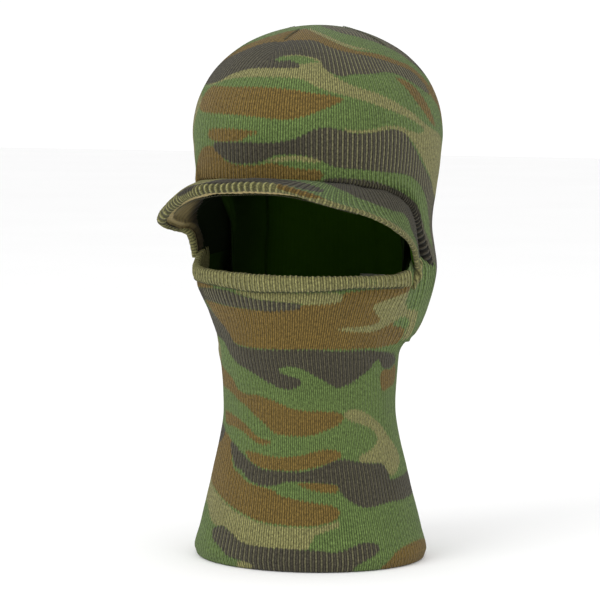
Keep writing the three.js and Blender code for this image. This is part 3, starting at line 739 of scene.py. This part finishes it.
def mask_surface(deg, z, offset=0.0):
    around = np.abs(deg)
    tube = neck(deg, z, offset)
    # Above z 213 the cheek runs up inside the crown's rolled edge; below 203 it covers the crown's edge.
    below_edge = np.maximum(crown_edge(np.minimum(around, 102)) - z, 0)
    tucked = 0.7 + 5.2 * hump(below_edge, 0, 17) * ease(around, 80, 90)
    inset = mix(-1.1, tucked, ease(z, 203, 213))
    cheek = hood(deg, np.clip(z, 151, DOME_BASE), -inset + offset)
    share = ease(around, 76, 96) * ease(around, 117, 109) * ease(z, 140, 156)
    return tube * (1 - share[..., None]) + cheek * share[..., None]


def mask_piece():
    deg = columns[:, None]
    around = np.abs(deg)
    z = tube_top(deg) * row_of(0, 1, MASK_ROWS)
    body = mask_surface(deg, z)
    # The hem turns under and runs back up inside.
    low = body[:, 0]
    out = outward_of(low, NECK_Y)
    turn = np.radians(np.linspace(180, 0, 7)[:-1])[None, :, None]
    bottom = low[:, None] - HEM_FOLD * (out[:, None] * (1 - np.cos(turn)) + np.array([0, 0, 1]) * (np.sin(turn) - 1))
    inside_z = row_of(HEM_UP, HEM_FOLD, 8)
    inside = neck(deg, inside_z, -2 * HEM_FOLD - 0.2)
    lifted = body.copy()
    lifted[..., 2] += HEM_FOLD * ease(z, 12, 0)
    points = np.concatenate([inside, bottom, lifted], 1)
    hem_rows = inside.shape[1] + bottom.shape[1]
    d = np.broadcast_to(deg, points.shape[:2])
    zed = np.concatenate([-inside_z + 0 * deg, np.zeros(bottom.shape[:2]), z], 1)
    wale = mask_wale(d)
    n = normals(points, True)
    slack = 0.8 * soft_noise(d * 1.2, zed * 0.6, 70, 11) + 0.25 * soft_noise(d * 1.2, zed * 0.3, 16, 12)
    pull = hump(zed, 150, 16) * hump(around, 70, 14)
    crease = 0.8 * pull * np.sin((zed + around * 0.9) / 3.4)
    folds = slack * ease(zed, 2, 20) + crease
    folds[:, :hem_rows] = 0
    relief = rib(wale) * mix(0.08, 0.22, ease(zed, 170, 190)) * ease(around, 112, 106)
    points = points + n * (relief + folds)[..., None]
    inks = print_round(MASK_PRINT, d, zed)
    opened = 0.14 + 0.6 * ease(zed, 150, 190) + 0.3 * ease(zed, 70, 20) + 0.2 * soft_noise(d, zed, 60, 13)
    attributes = knit(wale, zed / COURSE, inks, opened)
    piece = grid_piece("mask_knit", points, True, False, attributes, [camo])
    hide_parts("mask_tube", "cheek_panel_left", "cheek_panel_right", "hem_facing")
    return piece


def mask_inner_piece():
    deg = RING[:, None]
    z = tube_top(deg) * row_of(0.055, 0.998, INNER_ROWS)
    points = mask_surface(deg, z, -INNER_GAP)
    points = points + normals(points, True) * (0.3 * soft_noise(deg * DEGREE, z, 45, 15))[..., None]
    # Painted shade on the inner face, darkest at the front and high up, near the opening.
    shaded = 0.7 * ease(np.abs(deg), 150, 95) * ease(z, 150, 190)
    attributes = knit(mask_wale(deg), z / COURSE, painted_shade=shaded)
    piece = grid_piece("mask_inner_face", points, True, True, attributes, [inner])
    return piece


mask = mask_piece()
mask_inside = mask_inner_piece()


# ---- band under the opening
BAND_END = 84.0
BAND_COLUMNS, BAND_ROWS = 640, 31
band_low = curve([
    [-84, 197], [-63, 195], [-28, 193.6], [-14, 192.2], [-3, 190.8], [10, 191], [27, 191.5], [37, 192.1], [46, 193.4],
    [58, 193], [76, 192.2], [84, 192]])


def band_piece():
    deg = np.linspace(-BAND_END + 3, BAND_END, BAND_COLUMNS)[:, None]
    around = np.abs(deg)
    low = band_low(deg)
    high = 202.7 - 1.8 * np.sin(np.radians(deg))
    high = high + np.where(deg > 0, 2.2 * ease(around, 72, 83), 13.5 * ease(around, 56, 86))
    turn = row_of(0, TURN, BAND_ROWS)
    tall = (high - low) / 2
    thick = mix(2.9, 2.2, ease(around, 70, 84))
    z = (low + high) / 2 + tall * np.sign(np.sin(turn)) * np.abs(np.sin(turn)) ** 0.75
    out = thick * np.sign(np.cos(turn)) * np.abs(np.cos(turn)) ** 0.65
    s = neck_sides(z)
    side = mix(-2.0, 0.8, ease(deg, -50, 50)) - 1.2 * ease(-deg, 62, 76)
    points = oval(deg, z, s[..., 0] + side + out, s[..., 1] + 4.0 + out, NECK_Y)
    wale = mask_wale(deg) + 0.10 * (z - 197) / 6 * ease(around, 40, 75) * np.sign(deg)
    # The band's cloth meets itself where its first and last rows lie together.
    n = normals(points, False)
    n[:, 0] = n[:, -1] = (n[:, 1] + n[:, -2]) / 2
    relief = rib(wale) * 0.30 + 0.35 * soft_noise(deg * DEGREE, z * 0.5, 22, 21)
    points = points + unit(n) * relief[..., None]
    mottled = 2.2 + 2.4 * soft_noise(deg * DEGREE, z, 26, 22)
    inks = {"brown": -INK_REACH, "tan": mottled, "dark": -INK_REACH}
    # Painted shade between the band's wales, fading out at its end on the wearer's right.
    attributes = knit(wale, z / COURSE, inks, 0.55, 0.45 * ease(-deg, 70, 60))
    piece = grid_piece("nose_band_knit", points, False, False, attributes, [camo])
    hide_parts("chin_band")
    return piece


band = band_piece()


# ---- visor
VISOR_END = 96.0
VISOR_COLUMNS, VISOR_ROWS = 900, 26
ROLL = 3.4                    # radius of the rolled edge at the tip
FAN_CENTRE = 35.0             # degrees round, where the ribs fan out from
ALLOWANCE = 8.5               # of the seam, up inside the crown: it covers the seam when the visor bends up
TOP_ROW = 8                   # a row on the visor's top side
BROAD_RIBS = (2.5, 12.5)      # wales from the middle
WING_FACING_END = -31.0       # behind this the inside of the wings is the dark lining


def visor_root(t, raised=0.0):
    around = np.abs(t)
    deg = np.sign(t) * np.interp(around, [0, 75, 86, 96], [0, 70, 83, 98])
    deep = ease(around, 55, 80)
    z = crown_edge(np.abs(deg)) + mix(-2.4, 0.5, deep) + raised
    return hood(deg, z, mix(-2.2, mix(-5.5, -2.4, ease(raised, 0, 3)), deep))


def visor_piece():
    t = np.linspace(-VISOR_END, VISOR_END, VISOR_COLUMNS)[:, None]
    root, edge = visor_root(t), visor_edge(t)
    around = np.abs(t)
    ahead = unit(edge - root)
    up = unit(np.cross(ahead, unit(np.gradient(edge, axis=0))))
    r = (mix(ROLL, 1.9, ease(t, 12, 62)) * (1 - 0.35 * ease(-t, 80, 96)))[..., None]
    s = np.linspace(0, 1, VISOR_ROWS)[None, :, None]
    rise = (mix(2.2, 5.5, ease(around, 40, 75)) * ease(around, 96, 86))[..., None]
    top = root + (edge - root) * s + up * (r * ease(s, 0, 0.8) + rise * np.sin(math.pi * s ** 0.8) * (1 - s))
    tall = 0.8 + ALLOWANCE * ease(around, 22, 42) * ease(around, 84, 72)
    above = np.linspace(1, 0, 5)[None, :-1]
    allowance = visor_root(t, tall * above)
    top = np.concatenate([allowance, top], 1)
    turn = np.radians(np.linspace(90, -110, ROLL_ROWS + 1))[None, 1:, None]
    roll = edge + ahead * r * np.cos(turn) + up * r * np.sin(turn)
    s2 = np.r_[np.linspace(1, 0.7, 14), np.linspace(0.66, 0, 12)][None, 1:, None]
    low = root - mix(up + np.array([0, 0, 4.0]), up * 2.5, ease(around, 55, 80)[..., None])
    last = roll[:, -1:]
    welt = 2.0 * hump(s2, 0.86, 0.05) - 1.6 * hump(s2, 0.97, 0.03)
    under = low + (last - low) * s2 + up * (rise * 0.6 * np.sin(math.pi * s2) * s2 - welt)
    points = np.concatenate([top, roll, under], 1)
    rows = points.shape[1]
    tt = np.broadcast_to(t, (len(t), rows))
    # 0 at the root and 1 at the edge on top, 1.5 to 2.5 on the way back beneath.
    past_edge = 1 + np.linspace(0, 0.5, ROLL_ROWS + 1)[None, 1:]
    share = np.concatenate([-0.2 * above, s[..., 0], past_edge, 1.5 + (1 - s2[..., 0])], 1)
    share = np.broadcast_to(share, tt.shape)
    fan = np.minimum(share, 1.15)
    back = tt + (FAN_CENTRE - tt) * 0.28 * fan
    wale = crown_wale(np.sign(back) * np.interp(np.abs(back), [0, 75, 86, 96, 110], [0, 70, 83, 98, 112]), 1.0)
    # The ribs are broader where the edge turns back towards the wearer's right.
    past, beyond = (np.maximum(-wale - end, 0) for end in BROAD_RIBS)
    wale = 1.5 * wale + 0.62 * (past ** 2 / (past + 2) - beyond ** 2 / (beyond + 2))
    n = normals(points, False)
    # Facing out: up on the top side.
    n *= np.sign((n[:, TOP_ROW] * up[:, 0]).sum(1))[:, None, None]
    strong = mix(0.26, 0.40, ease(share, 0.5, 1.0)) * (1 - 0.75 * ease(share, 1.3, 1.6))
    strong = strong * mix(1, 0.25, ease(-tt, 74, 82)) * mix(1, 0.3, ease(tt, 12, 50) * ease(share, 0.8, 1.05))
    relief = rib(wale) * strong
    slack = 0.5 * soft_noise(tt * 1.5, share * 30, 30, 31)
    points = points + n * (relief + slack)[..., None]
    inks = print_of(VISOR_PRINT, tt, share * 10, across=1.6, up=3.6)
    # Painted shade: between the wales on the top side, darker towards the rolled edge and less on the wearer's right
    # wing; beneath, darkening towards the root, and darkest towards the back of the wing on the wearer's right, where
    # it meets the dark lining.
    bold = ease(tt, 40, 10) * (1 - 0.8 * ease(-tt, 80, 88))
    painted_shade = mix(mix(0.40, 0.60, ease(tt, 30, 60)), mix(0.60, 0.95, bold), ease(share, 0.7, 1.0))
    underside_shade = np.maximum(0.9 * ease(share, 1.8, 2.4), 0.97 * ease(points[..., 1], -50, WING_FACING_END) * (tt < 0))
    painted_shade = np.where(share > 1.5, underside_shade, painted_shade * (1 - 0.6 * ease(-tt, 74, 82)))
    attributes = knit(wale, share * 40 / COURSE, inks, 0.25, painted_shade)
    under_side = (np.arange(rows - 1) >= top.shape[1] + roll.shape[1] - 2)[None, :]
    behind = under_side & (points[1:, 1:, 1] > WING_FACING_END)
    finish = np.where(behind, 2, np.where(under_side, 1, 0))
    middle = len(t) // 2
    here, beside = points[middle, TOP_ROW], points[middle + 1, TOP_ROW]
    flip = np.cross(beside - here, points[middle, TOP_ROW + 1] - here) @ up[middle, 0] < 0
    piece = grid_piece("visor_knit", points, False, bool(flip), attributes, [camo, olive, inner], finish)
    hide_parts("visor_top_cover", "visor_under_cover", "visor_edge_roll", "visor_wing_left",
                "visor_wing_right", "visor_wing_roll_left", "visor_wing_roll_right")
    return piece


visor = visor_piece()


# ---- seams
def tube_piece(name, path, radius, sides, material, closed=False):
    """A mesh tube along a line of points, in the millimetres above."""
    path = np.asarray(path, float)
    ahead = np.roll(path, -1, 0) - np.roll(path, 1, 0) if closed else np.gradient(path, axis=0)
    ahead = unit(ahead)
    side = unit(np.cross(ahead, [0.13, 0.21, 0.97]))        # a direction that no seam runs along
    other = np.cross(ahead, side)
    a = np.linspace(0, TURN, sides + 1)
    ring = side[:, None] * np.cos(a)[None, :, None] + other[:, None] * np.sin(a)[None, :, None]
    radius = np.broadcast_to(radius, (len(path),))
    points = path[:, None] + ring * radius[:, None, None]
    return grid_piece(name, points, closed, True, {"wale": np.arange(sides + 1)[None, :] / 2.0}, [material])


def overlock(path, normal, width, pitch):
    """Thread zigzagging over a seam: from side to side, and up over the ridge between."""
    path, normal = np.asarray(path, float), np.asarray(normal, float)
    steps = np.r_[0, np.cumsum(np.linalg.norm(np.diff(path, axis=0), axis=1))]
    count = max(int(steps[-1] / pitch * 6), 12)         # six points to each zigzag
    s = np.linspace(0, steps[-1], count)
    p, n = (np.stack([np.interp(s, steps, v[:, k]) for k in range(3)], 1) for v in (path, normal))
    n = unit(n)
    side = unit(np.cross(np.gradient(p, axis=0), n))
    a = TURN * s / pitch
    lift = mix(0.10, 0.80, 0.5 + 0.5 * np.cos(2 * a))       # low at the seam's sides, high over its ridge
    return p + side * (width * np.sin(a))[:, None] + n * lift[:, None]


def seam_piece(name, path, normal, width, pitch, replaced, body="hood", radius=0.33):
    piece = tube_piece(name, overlock(path, normal, width, pitch), radius, 5, thread)
    if body:
        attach(piece, body)
    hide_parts(*replaced)
    return piece


for side, at in (("front", 0.0), ("left", 90.0), ("back", 180.0), ("right", -90.0)):
    down = np.linspace(17, 31, 30) if at == 0 else np.linspace(13, 38, 30)
    ridge = dome(at, down, 0.2)
    upright = unit(ridge - dome(at, down, -6))
    dent = hump(np.sin(np.radians(down)), 0.45, 0.25) if at == 0 else 0 * down
    line = ridge - upright * dent[:, None]
    seam_piece("crown_dart_thread_" + side, line, upright, 0.5, 2.0, ["crown_dart_" + side], radius=0.24)

z = np.linspace(156, 290, 60)
line = hood(180.0, z, 0.5)
seam_piece("crown_back_seam_thread", line, outward_of(line, HOOD_Y), 1.5, 2.6, ["crown_back_seam"])
z = np.linspace(4, 146, 60)
line = neck(180.0, z, 0.5)
seam_piece("neck_back_seam_thread", line, outward_of(line, NECK_Y), 1.4, 2.6, ["neck_back_seam"])
turn = np.linspace(-62, 62, 80)
line = hood(turn, crown_edge(np.abs(turn)) + 0.4, -4.6)
seam_piece("brow_seam_thread", line, -outward_of(line, HOOD_Y), 1.1, 2.4, ["brow_seam"])
line = neck(RING, 19.5, -3.4)
seam_piece("hem_overlock_thread", line, -outward_of(line, NECK_Y), 1.3, 2.8, ["hem_overlock"])

# The band's lower edge, and the stitching that holds it to the mask.
turn = np.linspace(-66, 78, 120)
line = mask_surface(turn, band_low(turn) - 0.4, 0.9)
band_seam = seam_piece("band_seam_thread", line, outward_of(line, NECK_Y), 0.7, 2.4, ["chin_band_seam"], body=None,
                       radius=0.3)
line = np.array([visor_root(t) + (visor_edge(t) - visor_root(t)) * 0.78 for t in np.linspace(-56, 56, 90)])
line[:, 2] -= 5.6
visor_stitch = seam_piece("visor_edge_stitch_thread", line, np.tile([0, 0, -1.0], (90, 1)), 0.4, 2.6,
                          ["visor_edge_stitch"], body=None, radius=0.18)


def corner_piece(side, sign):
    """Twisted ridges of tan knit that close each corner of the opening."""
    u = np.linspace(0, 1, 70)[:, None]
    deg = sign * np.interp(u, [0, 0.3, 0.65, 1], [83.5, 84.6, 86.6, 85.6])
    z = mix(189, 213, u)
    core = hood(deg[:, 0], z[:, 0], 0.6)
    a = row_of(0, TURN, 25)
    twist = a * 2 + u * 15 * sign
    radius = 2.9 * np.sin(math.pi * np.clip(u, 0.02, 0.98)) ** 0.4 * (1 + 0.22 * np.cos(twist))
    out = outward_of(core, HOOD_Y)
    other = np.cross(unit(np.gradient(core, axis=0)), out)
    ring = out[:, None] * np.cos(a)[..., None] + other[:, None] * np.sin(a)[..., None]
    points = core[:, None] + radius[..., None] * ring
    inks = {"brown": -INK_REACH, "tan": 4.0, "dark": -INK_REACH}
    attributes = knit(twist / TURN, np.broadcast_to(u * 20, twist.shape), inks, 0.4)
    piece = grid_piece("corner_twist_" + side, points, False, True, attributes, [camo])
    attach(piece, "hood")
    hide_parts("corner_binding_" + side)
    return piece


for side, sign in (("left", 1), ("right", -1)):
    corner_piece(side, sign)


def label_piece():
    deg = np.linspace(172, 188, 30)[:, None]
    z = row_of(170, 190, 40)
    points = hood(deg, z, -6.0)
    points = points + (0.35 * soft_noise(deg * 1.4, z, 20, 41))[..., None] * np.array([0, -1, 0])
    piece = grid_piece("care_label_cloth", points, False, True, {"wale": deg * 0.4}, [label_cloth])
    piece.modifiers.new("thickness", "SOLIDIFY").thickness = 0.0005
    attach(piece, "hood")
    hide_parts("care_label")
    return piece


label = label_piece()

stiffener_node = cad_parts["visor_stiffener"]
stiffener_node.data.materials.clear()
stiffener_node.data.materials.append(board)


# ---- heights in the frame, and transforms baked into the visor, mask and band
def row_y(y):
    return y / 1000 + ORIGIN[1]


def row_z(z):
    return z / 1000 + ORIGIN[2]


for piece in (visor, visor_stitch):
    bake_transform(piece)
for piece in (mask, mask_inside, band, band_seam):
    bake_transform(piece)


# ---- floor, light and camera
FLOOR_GAP = 0.0004          # metres under the hem
floor_z = float(ORIGIN[2]) - FLOOR_GAP
bpy.ops.mesh.primitive_plane_add(size=14, location=(0, 0, floor_z))
floor = bpy.context.object
floor.name = "floor"
pale = Nodes("pale_floor")
floor.data.materials.append(pale.surface(pale.blend(pale.noise(3, 2.0), (0.90, 0.90, 0.90), (0.93, 0.93, 0.93)), 0.9))

world = bpy.data.worlds.new("studio")
bpy.context.scene.world = world
world.use_nodes = True
sky = world.node_tree.nodes["Background"].inputs
sky["Color"].default_value, sky["Strength"].default_value = (1, 1, 1, 1), 1.05


def area_light(name, where, size, watts):
    data = bpy.data.lights.new(name, "AREA")
    data.size = size
    data.energy = watts
    lamp = linked(name, data)
    lamp.location = where
    aim = Vector((0, 0, -0.17)) - lamp.location
    lamp.rotation_euler = aim.to_track_quat("-Z", "Y").to_euler()


area_light("key", (-0.7, -1.9, 1.1), 1.3, 22)
area_light("fill", (1.8, -1.0, 0.5), 1.5, 9)

AZIMUTH, ELEVATION, DISTANCE = math.radians(27), math.radians(5), 2.0
level = math.cos(ELEVATION)
back = Vector((math.sin(AZIMUTH) * level, -math.cos(AZIMUTH) * level, math.sin(ELEVATION)))
right = Vector((math.cos(AZIMUTH), math.sin(AZIMUTH), 0))
up = back.cross(right)
aim = Vector((0, row_y(0), row_z(190)))
SHIFT_LEFT, SHIFT_DOWN = 0.0112, 0.0119     # so that the mask stands in the picture where the photo has it
camera_data = bpy.data.cameras.new("camera")
camera_data.sensor_width = 36
camera_data.lens = 171.43                   # millimetres: 0.42 m of height at DISTANCE
camera = linked("camera", camera_data)
camera.location = aim + back * DISTANCE - right * SHIFT_LEFT - up * SHIFT_DOWN
camera.rotation_euler = (-back).to_track_quat("-Z", "Y").to_euler()
bpy.context.scene.camera = camera
bpy.context.scene.view_settings.view_transform = "Standard"
